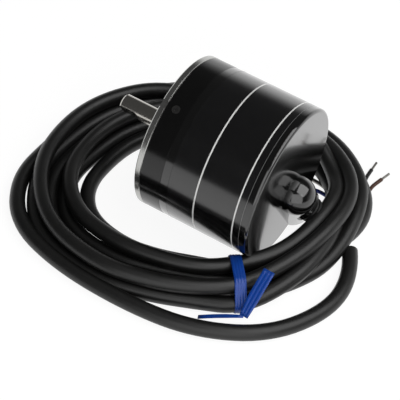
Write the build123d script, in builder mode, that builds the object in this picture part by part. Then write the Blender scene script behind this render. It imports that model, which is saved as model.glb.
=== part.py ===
import os
from math import cos, pi, radians, sin, sqrt, tan

from build123d import *

os.makedirs("parts", exist_ok=True)

# Incremental rotary encoder, in millimetres. The shaft lies along X and points to +X, the mounting face is
# the plane X = 0, and the body lies on its side on the plane Z = -rim_diameter / 2. Angles round the shaft
# are counted from +Y towards +Z.

# Body
rim_diameter = 50.0
rim_thickness = 2.0
rim_chamfer = 0.3
case_setback = 0.05
case_ring_end = 9.0
case_ring_wall = 1.25
case_edge_chamfer = 0.1
body_length = 39.5
cover_wall = 1.9
cover_end_wall = 2.0
cover_edge_radius = 1.0
spigot_wall = 2.0
spigot_end = 12.5
flange_plate = 9.0
tongue_wall = 1.2
slip_clearance = 0.05
groove_depth = 0.95
o_ring_diameter = 1.0
overcut = 1.0
label_front = 11.6
label_rear = 36.9
label_thickness = 0.12
label_inset = 0.02

# Front mounting
boss_diameter = 20.0
boss_height = 5.0
boss_chamfer = 0.5
bolt_circle = 30.0
bolt_count = 3
bolt_hole_diameter = 2.5
bolt_hole_depth = 8.0
bolt_first_angle = 90.0

# Radial case screws and the flats that they line up with in the rim
case_screw_count = 3
case_screw_angle = 58.0
case_screw_x = -5.1
case_screw_diameter = 1.9
case_screw_length = 5.6
case_screw_head_diameter = 2.6
case_screw_head_height = 0.7
case_screw_recess = 0.15
case_screw_key = 1.1
rim_flat_width = 2.4
rim_flat_depth = 0.5

# Shaft
shaft_diameter = 6.0
shaft_reach = 20.0
shaft_tip_chamfer = 0.5
flat_length = 7.4
flat_across = 5.0
flat_angle = -28.5
cutter_radius = 3.0
hub_seat_diameter = 5.0
hub_seat_start = -16.2
shaft_rear = -22.2
circlip_thickness = 0.7
circlip_groove_depth = 0.4
circlip_height = 1.2
circlip_opening = 3.4
seal_neck_depth = 0.2
seal_neck_lead = 0.1

# Ball bearings, both alike
bearing_bore = 6.0
bearing_diameter = 15.0
bearing_width = 5.0
front_bearing_x = 3.0
rear_bearing_x = -9.0
ball_diameter = 2.4
ball_count = 7
ball_clearance = 0.05
race_thickness = 1.4
spacer_step = 0.2
shield_thickness = 0.25
shield_inset = 0.15
shield_gap = 0.1
cage_thickness = 0.6
cage_band = 1.0
cage_offset = 0.7
press_clearance = 0.01
seat_shoulder = 1.0

# Bearing hub and what closes it
hub_end = 15.0
hub_gap = 0.1
preload_thickness = 0.35
retainer_thickness = 1.0
retainer_bore = 12.4
retainer_screw_count = 3
retainer_screw_edge = 1.7
retainer_screw_diameter = 1.4
retainer_screw_length = 3.2
retainer_head_diameter = 2.6
retainer_head_height = 0.6
seal_thickness = 1.1
seal_gap = 0.25

# Disc and what carries it
disc_hub_diameter = 10.0
disc_hub_front = -16.6
disc_flange_diameter = 15.0
disc_flange_thickness = 1.2
disc_x = -18.4
disc_thickness = 0.3
disc_gap = 0.89
slot_count = 100
slot_length = 2.0
slot_share = 0.5
track_edge = 1.4
index_step = 2.1
index_length = 1.0
clamp_ring_thickness = 1.0
set_screw_diameter = 2.0
set_screw_depth = 0.2
set_screw_socket = 1.0

# Optics
optics_angle = 90.0
emitter_diameter = 3.0
emitter_length = 4.2
emitter_x = -10.4
emitter_holder_width = 7.0
emitter_holder_radial = 4.2
emitter_holder_rear = -16.6
emitter_holder_chamfer = 0.5
emitter_peg_diameter = 1.4
emitter_peg_length = 2.0
emitter_lead_diameter = 0.5
emitter_lead_half_pitch = 0.6
emitter_lead_bend = 0.8
lead_way_lift = 0.9
lead_way_width = 2.6
lead_way_depth = 1.6
lens_edge = 0.5
lens_bulge = 0.6
mask_thickness = 0.5
mask_gap = 0.6
mask_slot_count = 6
carrier_width = 8.0
carrier_radial = 5.2
carrier_wall = 1.1
photodiode_height = 0.9
photodiode_gap = 0.15

# Board
board_front = -24.0
board_thickness = 1.6
board_margin = 2.7
board_hole_diameter = 6.0
standoff_count = 3
standoff_first_angle = 30.0
standoff_gap = 0.29
standoff_flats = 4.0
standoff_thread = 1.9
standoff_thread_length = 3.0
board_screw_head_diameter = 3.6
board_screw_head_height = 1.2
board_screw_length = 5.0
screw_cross_length = 2.2
screw_cross_width = 0.5
screw_cross_depth = 0.6
chip_standoff = 0.15
chip_chamfer = 0.2
chip_leg_width = 0.4
chip_leg_reach = 0.9
chip_leg_thickness = 0.2
chip_leg_root = 0.3
header_width = 11.0
header_depth = 4.6
header_height = 5.0
header_pins = 6
header_pitch = 1.5
header_z = 8.0
header_hole_depth = 1.5
inner_core_diameter = 1.1
inner_core_spacing = 0.62
inner_core_lift = 0.75
inner_core_straight = 2.2
inner_core_entry = 1.6
inner_core_seat = 1.2
inner_core_bend = 1.2
capacitor_diameter = 5.0
capacitor_height = 5.4
capacitor_round = 0.4
capacitor_side = 10.5
capacitor_drops = (6.0, 6.5)
resistor_row = -11.5
resistor_size = (1.6, 0.8, 0.5)
resistor_pitch = (2.4, 2.6)

# Cable hood and outlet on the rear cover
outlet_angle = -120.5
outlet_slope = 45.0
outlet_crossing = 10.7
hood_radius = 6.3
hood_start = 8.0
hood_start_depth = 1.5
hood_rim_depth = -2.3
stub_diameter = 10.4
stub_reach = 6.0
bush_diameter = 8.2
bush_inner_reach = -7.2
bush_collar = 2.4
bush_tip_diameter = 6.2
bush_tip_reach = 11.0
bush_rib_depth = 0.5
bush_rib_width = 0.5
nose_clearance = 0.4
clamp_length = 2.2
clamp_wall = 1.2
jacket_end_reach = -11.0

# Cable
cable_diameter = 5.0
core_diameter = 1.3
core_tip_diameter = 0.8
core_tip_length = 4.0
lead_straight = 13.5
coil_layer = 5.0
coil_round = 2.2
coil_relief = 11.4
coil_relief_reach = 13.0

# Twist tie
tie_width = 2.6
tie_thickness = 0.5
tie_tail_width = 4.2
tie_wire_width = 1.4
tie_reach = 20.8
tie_height = 10.7
tie_corner = 2.4
twist_diameter = 2.2

floor_z = -rim_diameter / 2
rim_radius = rim_diameter / 2
case_radius = rim_radius - case_setback
shaft_radius = shaft_diameter / 2
cable_radius = cable_diameter / 2
bearing_radius = bearing_diameter / 2
cover_inner_radius = case_radius - cover_wall
# From the case inwards: ring, tongue, spigot, standoffs, disc, emitter and bearing hub
ring_bore = case_radius - case_ring_wall
tongue_radius = ring_bore - slip_clearance
tongue_inner_radius = tongue_radius - tongue_wall
spigot_radius = tongue_inner_radius - slip_clearance
standoff_corner = standoff_flats / 2 / cos(radians(30))
standoff_circle = 2 * (spigot_radius - spigot_wall - standoff_gap - standoff_corner)
board_diameter = standoff_circle + 2 * board_margin
disc_diameter = standoff_circle - 2 * (standoff_corner + disc_gap)
track_radius = disc_diameter / 2 - track_edge
index_radius = track_radius - index_step
hub_radius = track_radius - emitter_holder_radial / 2 - hub_gap
retainer_screw_circle = 2 * (hub_radius - retainer_screw_edge)
pitch_radius = (bearing_bore + bearing_diameter) / 4
head_seat = case_radius - case_screw_head_height - case_screw_recess
board_rear = board_front - board_thickness


def outward(angle):
    """Unit vector square to the shaft, at an angle from +Y towards +Z."""
    return Vector(0, cos(radians(angle)), sin(radians(angle)))


def facing_out(angle, radius, x):
    """Plane square to a radius, looking away from the shaft, with its own X along the shaft."""
    return Plane(origin=Vector(x, 0, 0) + outward(angle) * radius, x_dir=(1, 0, 0), z_dir=outward(angle))


def along_shaft(angle):
    """Plane through the shaft axis: its X runs along the shaft and its Y outwards at the angle."""
    away = outward(angle)
    return Plane(origin=(0, 0, 0), x_dir=(1, 0, 0), z_dir=Vector(1, 0, 0).cross(away))


def turned(points):
    """Solid turned about the shaft axis from a closed profile of (x, radius) points."""
    with BuildPart() as body:
        with BuildSketch(Plane.XY):
            with BuildLine():
                Polyline(*points, close=True)
            make_face()
        revolve(axis=Axis.X)
    return body


def tube(front, rear, inner, outer):
    """Plain ring about the shaft axis between two X places."""
    return turned([(front, inner), (front, outer), (rear, outer), (rear, inner)])


# Front flange: rim, pilot boss, bearing hub and spigot turned from one piece
seal_front = boss_height
front_bearing_rear = front_bearing_x - bearing_width
rear_bearing_rear = rear_bearing_x - bearing_width
shoulder_radius = bearing_radius - seat_shoulder
groove_x = (case_ring_end + spigot_end) / 2

with BuildPart() as front_flange:
    with BuildSketch(Plane.XY):
        with BuildLine():
            Polyline(
                (boss_height, bearing_radius),
                (boss_height, boss_diameter / 2),
                (0, boss_diameter / 2),
                (0, rim_radius),
                (-rim_thickness, rim_radius),
                (-rim_thickness, spigot_radius),
                (-groove_x + o_ring_diameter / 2 + slip_clearance, spigot_radius),
                (-groove_x + o_ring_diameter / 2 + slip_clearance, spigot_radius - groove_depth),
                (-groove_x - o_ring_diameter / 2 - slip_clearance, spigot_radius - groove_depth),
                (-groove_x - o_ring_diameter / 2 - slip_clearance, spigot_radius),
                (-spigot_end, spigot_radius),
                (-spigot_end, spigot_radius - spigot_wall),
                (-flange_plate, spigot_radius - spigot_wall),
                (-flange_plate, hub_radius),
                (-hub_end, hub_radius),
                (-hub_end, bearing_radius),
                (rear_bearing_x, bearing_radius),
                (rear_bearing_x, shoulder_radius),
                (front_bearing_rear, shoulder_radius),
                (front_bearing_rear, bearing_radius),
                close=True,
            )
        make_face()
    revolve(axis=Axis.X)
    rim_edges = [e for e in front_flange.edges().filter_by(GeomType.CIRCLE) if e.radius > rim_radius - 0.01]
    chamfer(rim_edges, rim_chamfer)
    boss_edge = front_flange.edges().filter_by(GeomType.CIRCLE).filter_by(
        lambda e: abs(e.radius - boss_diameter / 2) < 0.01 and e.center().X > boss_height - 0.01
    )
    chamfer(boss_edge, boss_chamfer)
    # Threaded mounting holes
    with BuildSketch(Plane.YZ):
        with PolarLocations(bolt_circle / 2, bolt_count, start_angle=bolt_first_angle):
            Circle(bolt_hole_diameter / 2)
    extrude(amount=-bolt_hole_depth, mode=Mode.SUBTRACT)
    # Threaded holes of the retainer screws
    with BuildSketch(Plane.YZ.offset(-hub_end)):
        with PolarLocations(retainer_screw_circle / 2, retainer_screw_count, start_angle=bolt_first_angle):
            Circle(retainer_screw_diameter / 2 + slip_clearance)
    extrude(amount=retainer_screw_length, mode=Mode.SUBTRACT)
    # Threaded holes of the board standoffs
    with BuildSketch(Plane.YZ.offset(-flange_plate)):
        with PolarLocations(standoff_circle / 2, standoff_count, start_angle=standoff_first_angle):
            Circle(standoff_thread / 2 + slip_clearance)
    extrude(amount=standoff_thread_length + slip_clearance, mode=Mode.SUBTRACT)
    # Holes of the two pegs of the emitter holder
    with BuildSketch(Plane.YZ.offset(-flange_plate)):
        with Locations(Rotation(0, 0, optics_angle) * Location((track_radius, 0))):
            with GridLocations(1, emitter_holder_width - 2 * emitter_peg_diameter, 1, 2):
                Circle(emitter_peg_diameter / 2 + slip_clearance)
    extrude(amount=emitter_peg_length + slip_clearance, mode=Mode.SUBTRACT)
    # Radial threaded holes of the case screws, and the flats in the rim
    for k in range(case_screw_count):
        angle = case_screw_angle + k * 360 / case_screw_count
        with BuildSketch(facing_out(angle, spigot_radius + overcut, case_screw_x)):
            Circle(case_screw_diameter / 2 + slip_clearance)
        extrude(amount=-(case_screw_length + overcut), mode=Mode.SUBTRACT)
        with BuildSketch(facing_out(angle, rim_radius - rim_flat_depth, -rim_thickness / 2)):
            Rectangle(rim_thickness + overcut, rim_flat_width)
        extrude(amount=rim_flat_depth + overcut, mode=Mode.SUBTRACT)
front_flange.part.label = "front_flange"
export_step(front_flange.part, "parts/front_flange.step")

# Case ring: black ring between the rim and the rear cover, over the cover's tongue
with BuildPart() as case_ring:
    with BuildSketch(Plane.XY):
        with BuildLine():
            Polyline(
                (-rim_thickness, ring_bore),
                (-rim_thickness, case_radius),
                (-case_ring_end, case_radius),
                (-case_ring_end, ring_bore),
                close=True,
            )
        make_face()
    revolve(axis=Axis.X)
    chamfer([e for e in case_ring.edges().filter_by(GeomType.CIRCLE) if e.radius > case_radius - 0.01], case_edge_chamfer)
    for k in range(case_screw_count):
        angle = case_screw_angle + k * 360 / case_screw_count
        with BuildSketch(facing_out(angle, ring_bore - overcut, case_screw_x)):
            Circle(case_screw_diameter / 2 + 2 * slip_clearance)
        extrude(amount=case_radius, mode=Mode.SUBTRACT)
        with BuildSketch(facing_out(angle, head_seat, case_screw_x)):
            Circle(case_screw_head_diameter / 2 + slip_clearance)
        extrude(amount=case_radius, mode=Mode.SUBTRACT)
case_ring.part.label = "case_ring"
export_step(case_ring.part, "parts/case_ring.step")

# Case screws: three alike, each with a socket
with BuildPart() as case_screws:
    for k in range(case_screw_count):
        angle = case_screw_angle + k * 360 / case_screw_count
        with BuildSketch(facing_out(angle, head_seat, case_screw_x)):
            Circle(case_screw_head_diameter / 2)
        extrude(amount=case_screw_head_height)
        with BuildSketch(facing_out(angle, head_seat, case_screw_x)):
            Circle(case_screw_diameter / 2)
        extrude(amount=-case_screw_length)
        with BuildSketch(facing_out(angle, head_seat + case_screw_head_height / 3, case_screw_x)):
            RegularPolygon(case_screw_key / 2, 6, major_radius=False)
        extrude(amount=case_screw_head_height, mode=Mode.SUBTRACT)
case_screws.part.label = "case_screws"
export_step(case_screws.part, "parts/case_screws.step")

# Outlet axis: it crosses the rear face at outlet_crossing from the shaft axis and leaves at outlet_slope
outlet_out = outward(outlet_angle)
outlet_side = outward(outlet_angle + 90)
outlet_mouth = Vector(-body_length, 0, 0) + outlet_out * outlet_crossing
outlet_way = Vector(-cos(radians(outlet_slope)), 0, 0) + outlet_out * sin(radians(outlet_slope))


def on_outlet(reach):
    """Plane square to the outlet axis, reach along it from the rear face, looking the way the cable leaves."""
    return Plane(origin=outlet_mouth + outlet_way * reach, x_dir=outlet_side, z_dir=outlet_way)


# Rear cover: cup with a tongue under the case ring, a rounded hood and a sloping outlet
hood_top = Vector(-body_length - hood_start_depth, 0, 0) + outlet_out * hood_start
hood_foot = Vector(-body_length - hood_rim_depth, 0, 0) + outlet_out * rim_radius
hood_way = (hood_foot - hood_top).normalized()
with BuildPart() as rear_cover:
    # Outside of the cup
    with BuildSketch(Plane.XY):
        with BuildLine():
            Polyline(
                (-case_ring_end, 0),
                (-case_ring_end, case_radius),
                (-body_length, case_radius),
                (-body_length, 0),
                close=True,
            )
        make_face()
    revolve(axis=Axis.X)
    rear_edge = rear_cover.edges().filter_by(GeomType.CIRCLE).sort_by(Axis.X)[0]
    fillet(rear_edge, cover_edge_radius)
    # Hood: a round ridge from near the middle to the rim, with a domed end
    with BuildSketch(Plane(origin=hood_top, x_dir=outlet_side, z_dir=hood_way)):
        Circle(hood_radius)
    extrude(amount=(hood_foot - hood_top).length + hood_radius)
    with Locations(hood_top):
        Sphere(hood_radius)
    with BuildSketch(on_outlet(0)):
        Circle(stub_diameter / 2)
    extrude(amount=stub_reach)
    # What stands past the round of the case is trimmed flush with it
    with BuildSketch(Plane.XY):
        with BuildLine():
            Polyline(
                (-case_ring_end + overcut, case_radius),
                (-case_ring_end + overcut, 2 * case_radius),
                (-2 * body_length, 2 * case_radius),
                (-2 * body_length, case_radius),
                close=True,
            )
        make_face()
    revolve(axis=Axis.X, mode=Mode.SUBTRACT)
    # Tongue
    with BuildSketch(Plane.XY):
        with BuildLine():
            Polyline(
                (-rim_thickness - 2 * slip_clearance, 0),
                (-rim_thickness - 2 * slip_clearance, tongue_radius),
                (-case_ring_end, tongue_radius),
                (-case_ring_end, 0),
                close=True,
            )
        make_face()
    revolve(axis=Axis.X)
    # Inside
    with BuildSketch(Plane.XY):
        with BuildLine():
            Polyline(
                (0, 0),
                (0, tongue_inner_radius),
                (-spigot_end - slip_clearance, tongue_inner_radius),
                (-spigot_end - slip_clearance, cover_inner_radius),
                (-body_length + cover_end_wall, cover_inner_radius),
                (-body_length + cover_end_wall, 0),
                close=True,
            )
        make_face()
    revolve(axis=Axis.X, mode=Mode.SUBTRACT)
    with BuildSketch(on_outlet(bush_inner_reach)):
        Circle(bush_diameter / 2 + slip_clearance)
    extrude(amount=stub_reach - bush_inner_reach, mode=Mode.SUBTRACT)
    with BuildSketch(on_outlet(stub_reach)):
        Circle(bush_diameter / 2 + nose_clearance)
    extrude(amount=2 * stub_reach, mode=Mode.SUBTRACT)
    for k in range(case_screw_count):
        angle = case_screw_angle + k * 360 / case_screw_count
        with BuildSketch(facing_out(angle, tongue_inner_radius - overcut, case_screw_x)):
            Circle(case_screw_diameter / 2 + 2 * slip_clearance)
        extrude(amount=tongue_wall + 3 * overcut, mode=Mode.SUBTRACT)
    # Shallow seat of the label
    with BuildSketch(Plane.XY):
        with BuildLine():
            Polyline(
                (-label_front + slip_clearance, case_radius - label_thickness - label_inset),
                (-label_front + slip_clearance, case_radius + overcut),
                (-label_rear - slip_clearance, case_radius + overcut),
                (-label_rear - slip_clearance, case_radius - label_thickness - label_inset),
                close=True,
            )
        make_face()
    revolve(axis=Axis.X, mode=Mode.SUBTRACT)
rear_cover.part.label = "rear_cover"
export_step(rear_cover.part, "parts/rear_cover.step")

# Label film
label_film = tube(
    -label_front, -label_rear, case_radius - label_thickness - label_inset, case_radius - label_inset
)
label_film.part.label = "label_film"
export_step(label_film.part, "parts/label_film.step")

# Cover O-ring in its groove in the spigot
with BuildPart() as cover_o_ring:
    o_ring_height = spigot_radius - groove_depth + o_ring_diameter / 2
    with BuildSketch(Plane.XY):
        with Locations((-groove_x, o_ring_height)):
            Circle(o_ring_diameter / 2 - 2 * press_clearance)
    revolve(axis=Axis.X)
cover_o_ring.part.label = "cover_o_ring"
export_step(cover_o_ring.part, "parts/cover_o_ring.step")

# Shaft: turned, with two circlip grooves, a neck under the dust seal, a smaller disc seat and a milled D flat
groove_radius = shaft_radius - circlip_groove_depth
seal_neck_radius = shaft_radius - seal_neck_depth
front_groove = (front_bearing_x + circlip_thickness, front_bearing_x)
rear_groove = (rear_bearing_rear, rear_bearing_rear - circlip_thickness)
flat_height = flat_across - shaft_radius
cutter_height = flat_height + cutter_radius
run_out = sqrt(cutter_radius**2 - (cutter_height - shaft_radius) ** 2)
flat_start = shaft_reach - flat_length
with BuildPart() as shaft:
    with BuildSketch(Plane.XY):
        with BuildLine():
            Polyline(
                (shaft_reach, 0),
                (shaft_reach, shaft_radius - shaft_tip_chamfer),
                (shaft_reach - shaft_tip_chamfer, shaft_radius),
                (boss_height + seal_neck_lead, shaft_radius),
                (boss_height + seal_neck_lead, seal_neck_radius),
                (front_groove[0], seal_neck_radius),
                (front_groove[0], groove_radius),
                (front_groove[1], groove_radius),
                (front_groove[1], shaft_radius),
                (rear_groove[0], shaft_radius),
                (rear_groove[0], groove_radius),
                (rear_groove[1], groove_radius),
                (rear_groove[1], shaft_radius),
                (hub_seat_start, shaft_radius),
                (hub_seat_start, hub_seat_diameter / 2),
                (shaft_rear, hub_seat_diameter / 2),
                (shaft_rear, 0),
                close=True,
            )
        make_face()
    revolve(axis=Axis.X)
    with BuildSketch(along_shaft(flat_angle)):
        with BuildLine():
            arc = ThreePointArc(
                (flat_start, shaft_radius),
                (
                    flat_start + run_out - cutter_radius * sin(radians(20)),
                    cutter_height - cutter_radius * cos(radians(20)),
                ),
                (flat_start + run_out, flat_height),
            )
            Polyline(
                arc @ 1,
                (shaft_reach + overcut, flat_height),
                (shaft_reach + overcut, shaft_radius + overcut),
                (flat_start, shaft_radius + overcut),
                arc @ 0,
            )
        make_face()
    extrude(amount=shaft_diameter, both=True, mode=Mode.SUBTRACT)
shaft.part.label = "shaft"
export_step(shaft.part, "parts/shaft.step")

# Circlips on both sides of the bearing pair
for name, (front, rear) in {"front_circlip": front_groove, "rear_circlip": rear_groove}.items():
    with BuildPart() as circlip:
        with BuildSketch(Plane.YZ.offset(front)):
            Circle(groove_radius + circlip_height)
            Circle(groove_radius + press_clearance, mode=Mode.SUBTRACT)
            with Locations((0, -shaft_diameter)):
                Rectangle(circlip_opening, 2 * shaft_diameter, mode=Mode.SUBTRACT)
        extrude(amount=rear - front)
    circlip.part.label = name
    export_step(circlip.part, f"parts/{name}.step")

# Race spacer between the two inner races
race_spacer = tube(
    front_bearing_rear, rear_bearing_x, shaft_radius + press_clearance, shaft_radius + race_thickness - spacer_step
)
race_spacer.part.label = "race_spacer"
export_step(race_spacer.part, "parts/race_spacer.step")

# Ball bearings: grooved races, balls in a crown cage, and two shields
inner_race_radius = bearing_bore / 2 + race_thickness
outer_race_radius = bearing_radius - race_thickness
ball_groove_radius = ball_diameter / 2 + ball_clearance
for place, front in {"front": front_bearing_x, "rear": rear_bearing_x}.items():
    middle = front - bearing_width / 2

    with BuildPart() as inner_race:
        with BuildSketch(Plane.XY):
            with Locations((middle, (bearing_bore / 2 + press_clearance + inner_race_radius) / 2)):
                Rectangle(bearing_width, race_thickness - press_clearance)
            with Locations((middle, pitch_radius)):
                Circle(ball_groove_radius, mode=Mode.SUBTRACT)
        revolve(axis=Axis.X)
    inner_race.part.label = f"{place}_bearing_inner_race"
    export_step(inner_race.part, f"parts/{place}_bearing_inner_race.step")

    with BuildPart() as outer_race:
        with BuildSketch(Plane.XY):
            with Locations((middle, (bearing_radius - press_clearance + outer_race_radius) / 2)):
                Rectangle(bearing_width, race_thickness - press_clearance)
            with Locations((middle, pitch_radius)):
                Circle(ball_groove_radius, mode=Mode.SUBTRACT)
        revolve(axis=Axis.X)
    outer_race.part.label = f"{place}_bearing_outer_race"
    export_step(outer_race.part, f"parts/{place}_bearing_outer_race.step")

    ball_spots = [
        Vector(middle, 0, 0) + outward(k * 360 / ball_count) * pitch_radius for k in range(ball_count)
    ]
    with BuildPart() as balls:
        with Locations(*ball_spots):
            Sphere(ball_diameter / 2)
    balls.part.label = f"{place}_bearing_balls"
    export_step(balls.part, f"parts/{place}_bearing_balls.step")

    with BuildPart() as cage:
        with BuildSketch(Plane.YZ.offset(middle - cage_offset)):
            Circle(pitch_radius + cage_band / 2)
            Circle(pitch_radius - cage_band / 2, mode=Mode.SUBTRACT)
        extrude(amount=-cage_thickness)
        with Locations(*ball_spots):
            Sphere(ball_groove_radius, mode=Mode.SUBTRACT)
    cage.part.label = f"{place}_bearing_cage"
    export_step(cage.part, f"parts/{place}_bearing_cage.step")

    with BuildPart() as shields:
        for face in (front - shield_inset - shield_thickness, front - bearing_width + shield_inset):
            with BuildSketch(Plane.YZ.offset(face)):
                Circle(outer_race_radius - press_clearance)
                Circle(inner_race_radius + shield_gap, mode=Mode.SUBTRACT)
            extrude(amount=shield_thickness)
    shields.part.label = f"{place}_bearing_shields"
    export_step(shields.part, f"parts/{place}_bearing_shields.step")

# Dust seal in the mouth of the pilot boss
dust_seal = turned(
    [
        (seal_front, seal_neck_radius + seal_gap),
        (seal_front, bearing_radius - press_clearance),
        (seal_front - seal_thickness, bearing_radius - press_clearance),
        (seal_front - seal_thickness, seal_neck_radius + 2 * seal_gap),
        (seal_front - seal_thickness / 2, seal_neck_radius + seal_gap),
    ]
)
dust_seal.part.label = "dust_seal"
export_step(dust_seal.part, "parts/dust_seal.step")

# Conical preload spring between the rear outer race and the retainer
preload_spring = turned(
    [
        (rear_bearing_rear, bearing_radius - 2 * slip_clearance),
        (-hub_end + preload_thickness, outer_race_radius + slip_clearance),
        (-hub_end, outer_race_radius + 2 * slip_clearance),
        (rear_bearing_rear - preload_thickness, bearing_radius - slip_clearance),
    ]
)
preload_spring.part.label = "preload_spring"
export_step(preload_spring.part, "parts/preload_spring.step")

# Bearing retainer plate and its screws
with BuildPart() as bearing_retainer:
    with BuildSketch(Plane.YZ.offset(-hub_end)):
        Circle(hub_radius - slip_clearance)
        Circle(retainer_bore / 2, mode=Mode.SUBTRACT)
        with PolarLocations(retainer_screw_circle / 2, retainer_screw_count, start_angle=bolt_first_angle):
            Circle(retainer_screw_diameter / 2 + slip_clearance, mode=Mode.SUBTRACT)
    extrude(amount=-retainer_thickness)
bearing_retainer.part.label = "bearing_retainer"
export_step(bearing_retainer.part, "parts/bearing_retainer.step")

with BuildPart() as retainer_screws:
    with BuildSketch(Plane.YZ.offset(-hub_end - retainer_thickness)):
        with PolarLocations(retainer_screw_circle / 2, retainer_screw_count, start_angle=bolt_first_angle):
            Circle(retainer_screw_diameter / 2)
    extrude(amount=retainer_screw_length)
    with BuildSketch(Plane.YZ.offset(-hub_end - retainer_thickness)):
        with PolarLocations(retainer_screw_circle / 2, retainer_screw_count, start_angle=bolt_first_angle):
            Circle(retainer_head_diameter / 2)
    extrude(amount=-retainer_head_height)
retainer_screws.part.label = "retainer_screws"
export_step(retainer_screws.part, "parts/retainer_screws.step")

# Disc hub, clamp ring, set screw and the slotted code disc
disc_seat = disc_x - disc_thickness
set_screw_x = (disc_seat - disc_flange_thickness + shaft_rear) / 2
with BuildPart() as disc_hub:
    with BuildSketch(Plane.XY):
        with BuildLine():
            Polyline(
                (disc_hub_front, hub_seat_diameter / 2 + press_clearance),
                (disc_hub_front, disc_hub_diameter / 2),
                (disc_seat, disc_hub_diameter / 2),
                (disc_seat, disc_flange_diameter / 2),
                (disc_seat - disc_flange_thickness, disc_flange_diameter / 2),
                (disc_seat - disc_flange_thickness, disc_hub_diameter / 2),
                (shaft_rear, disc_hub_diameter / 2),
                (shaft_rear, hub_seat_diameter / 2 + press_clearance),
                close=True,
            )
        make_face()
    revolve(axis=Axis.X)
    with BuildSketch(facing_out(0, hub_seat_diameter / 4, set_screw_x)):
        Circle(set_screw_diameter / 2 + press_clearance)
    extrude(amount=disc_hub_diameter, mode=Mode.SUBTRACT)
disc_hub.part.label = "disc_hub"
export_step(disc_hub.part, "parts/disc_hub.step")

with BuildPart() as hub_set_screw:
    screw_tip = hub_seat_diameter / 2 + slip_clearance
    with BuildSketch(facing_out(0, screw_tip, set_screw_x)):
        Circle(set_screw_diameter / 2)
    extrude(amount=disc_hub_diameter / 2 - set_screw_depth - screw_tip)
    with BuildSketch(facing_out(0, screw_tip + set_screw_socket, set_screw_x)):
        RegularPolygon(set_screw_diameter / 4, 6, major_radius=False)
    extrude(amount=disc_hub_diameter, mode=Mode.SUBTRACT)
hub_set_screw.part.label = "hub_set_screw"
export_step(hub_set_screw.part, "parts/hub_set_screw.step")

disc_bore = disc_hub_diameter / 2 + press_clearance
slot_width = 2 * pi * track_radius / slot_count * slot_share
with BuildPart() as code_disc:
    with BuildSketch(Plane.YZ.offset(disc_x)):
        Circle(disc_diameter / 2)
        Circle(disc_bore, mode=Mode.SUBTRACT)
        with PolarLocations(track_radius, slot_count):
            Rectangle(slot_length, slot_width, mode=Mode.SUBTRACT)
        with Locations(Rotation(0, 0, optics_angle) * Location((index_radius, 0))):
            Rectangle(index_length, slot_width, mode=Mode.SUBTRACT)
    extrude(amount=-disc_thickness)
code_disc.part.label = "code_disc"
export_step(code_disc.part, "parts/code_disc.step")

disc_clamp = tube(disc_x + clamp_ring_thickness, disc_x, disc_bore, disc_flange_diameter / 2)
disc_clamp.part.label = "disc_clamp"
export_step(disc_clamp.part, "parts/disc_clamp.step")

# Emitter side: holder on the flange, infrared emitter, lens and its two leads
optics = Rotation(0, 0, optics_angle) * Location((track_radius, 0))
emitter_bore = emitter_diameter / 2 + slip_clearance
with BuildPart() as emitter_holder:
    with BuildSketch(Plane.YZ.offset(-flange_plate)):
        with Locations(optics):
            Rectangle(emitter_holder_radial, emitter_holder_width)
    extrude(amount=emitter_holder_rear + flange_plate)
    chamfer(emitter_holder.edges().filter_by(Axis.X), emitter_holder_chamfer)
    with BuildSketch(Plane.YZ.offset(emitter_holder_rear)):
        with Locations(optics):
            Circle(emitter_bore)
    extrude(amount=emitter_x - emitter_holder_rear, mode=Mode.SUBTRACT)
    with BuildSketch(Plane.YZ.offset(-flange_plate)):
        with Locations(optics):
            with GridLocations(1, emitter_holder_width - 2 * emitter_peg_diameter, 1, 2):
                Circle(emitter_peg_diameter / 2)
    extrude(amount=emitter_peg_length)
    # Way out for the leads
    with BuildSketch(Plane.YZ.offset(emitter_x + lead_way_lift)):
        with Locations(optics):
            with Locations((emitter_holder_radial / 2, 0)):
                Rectangle(emitter_holder_radial + overcut, lead_way_width)
    extrude(amount=-lead_way_depth, mode=Mode.SUBTRACT)
emitter_holder.part.label = "emitter_holder"
export_step(emitter_holder.part, "parts/emitter_holder.step")

with BuildPart() as emitter:
    dome_start = emitter_x - emitter_length + emitter_diameter / 2
    with BuildSketch(Plane.YZ.offset(emitter_x)):
        with Locations(optics):
            Circle(emitter_diameter / 2)
    extrude(amount=dome_start - emitter_x)
    with Locations(Vector(dome_start, 0, 0) + outward(optics_angle) * track_radius):
        Sphere(emitter_diameter / 2)
emitter.part.label = "emitter"
export_step(emitter.part, "parts/emitter.step")

lens_radius = emitter_diameter / 2
lens_sphere = (lens_radius**2 + lens_bulge**2) / (2 * lens_bulge)
lens_top = emitter_holder_rear + lens_edge + lens_bulge
with BuildPart() as collimator_lens:
    with BuildSketch(Plane.YZ.offset(emitter_holder_rear)):
        with Locations(optics):
            Circle(lens_radius)
    extrude(amount=lens_edge + lens_bulge)
    with Locations(Vector(lens_top - lens_sphere, 0, 0) + outward(optics_angle) * track_radius):
        Sphere(lens_sphere, mode=Mode.INTERSECT)
collimator_lens.part.label = "collimator_lens"
export_step(collimator_lens.part, "parts/collimator_lens.step")

lead_height = track_radius + emitter_holder_radial / 2 + lead_way_lift
with BuildPart() as emitter_leads:
    for side in (-emitter_lead_half_pitch, emitter_lead_half_pitch):
        foot = Vector(emitter_x + emitter_lead_diameter, 0, 0) + outward(optics_angle) * track_radius
        across = outward(optics_angle + 90) * side
        bend = Vector(emitter_x + emitter_lead_diameter, 0, 0) + outward(optics_angle) * lead_height
        board_end = Vector(board_front, 0, 0) + outward(optics_angle) * lead_height
        with BuildLine() as lead_path:
            FilletPolyline(foot + across, bend + across, board_end + across, radius=emitter_lead_bend)
        with BuildSketch(Plane(origin=foot + across, z_dir=outward(optics_angle))):
            Circle(emitter_lead_diameter / 2)
        sweep(path=lead_path.line)
emitter_leads.part.label = "emitter_leads"
export_step(emitter_leads.part, "parts/emitter_leads.step")

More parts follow.
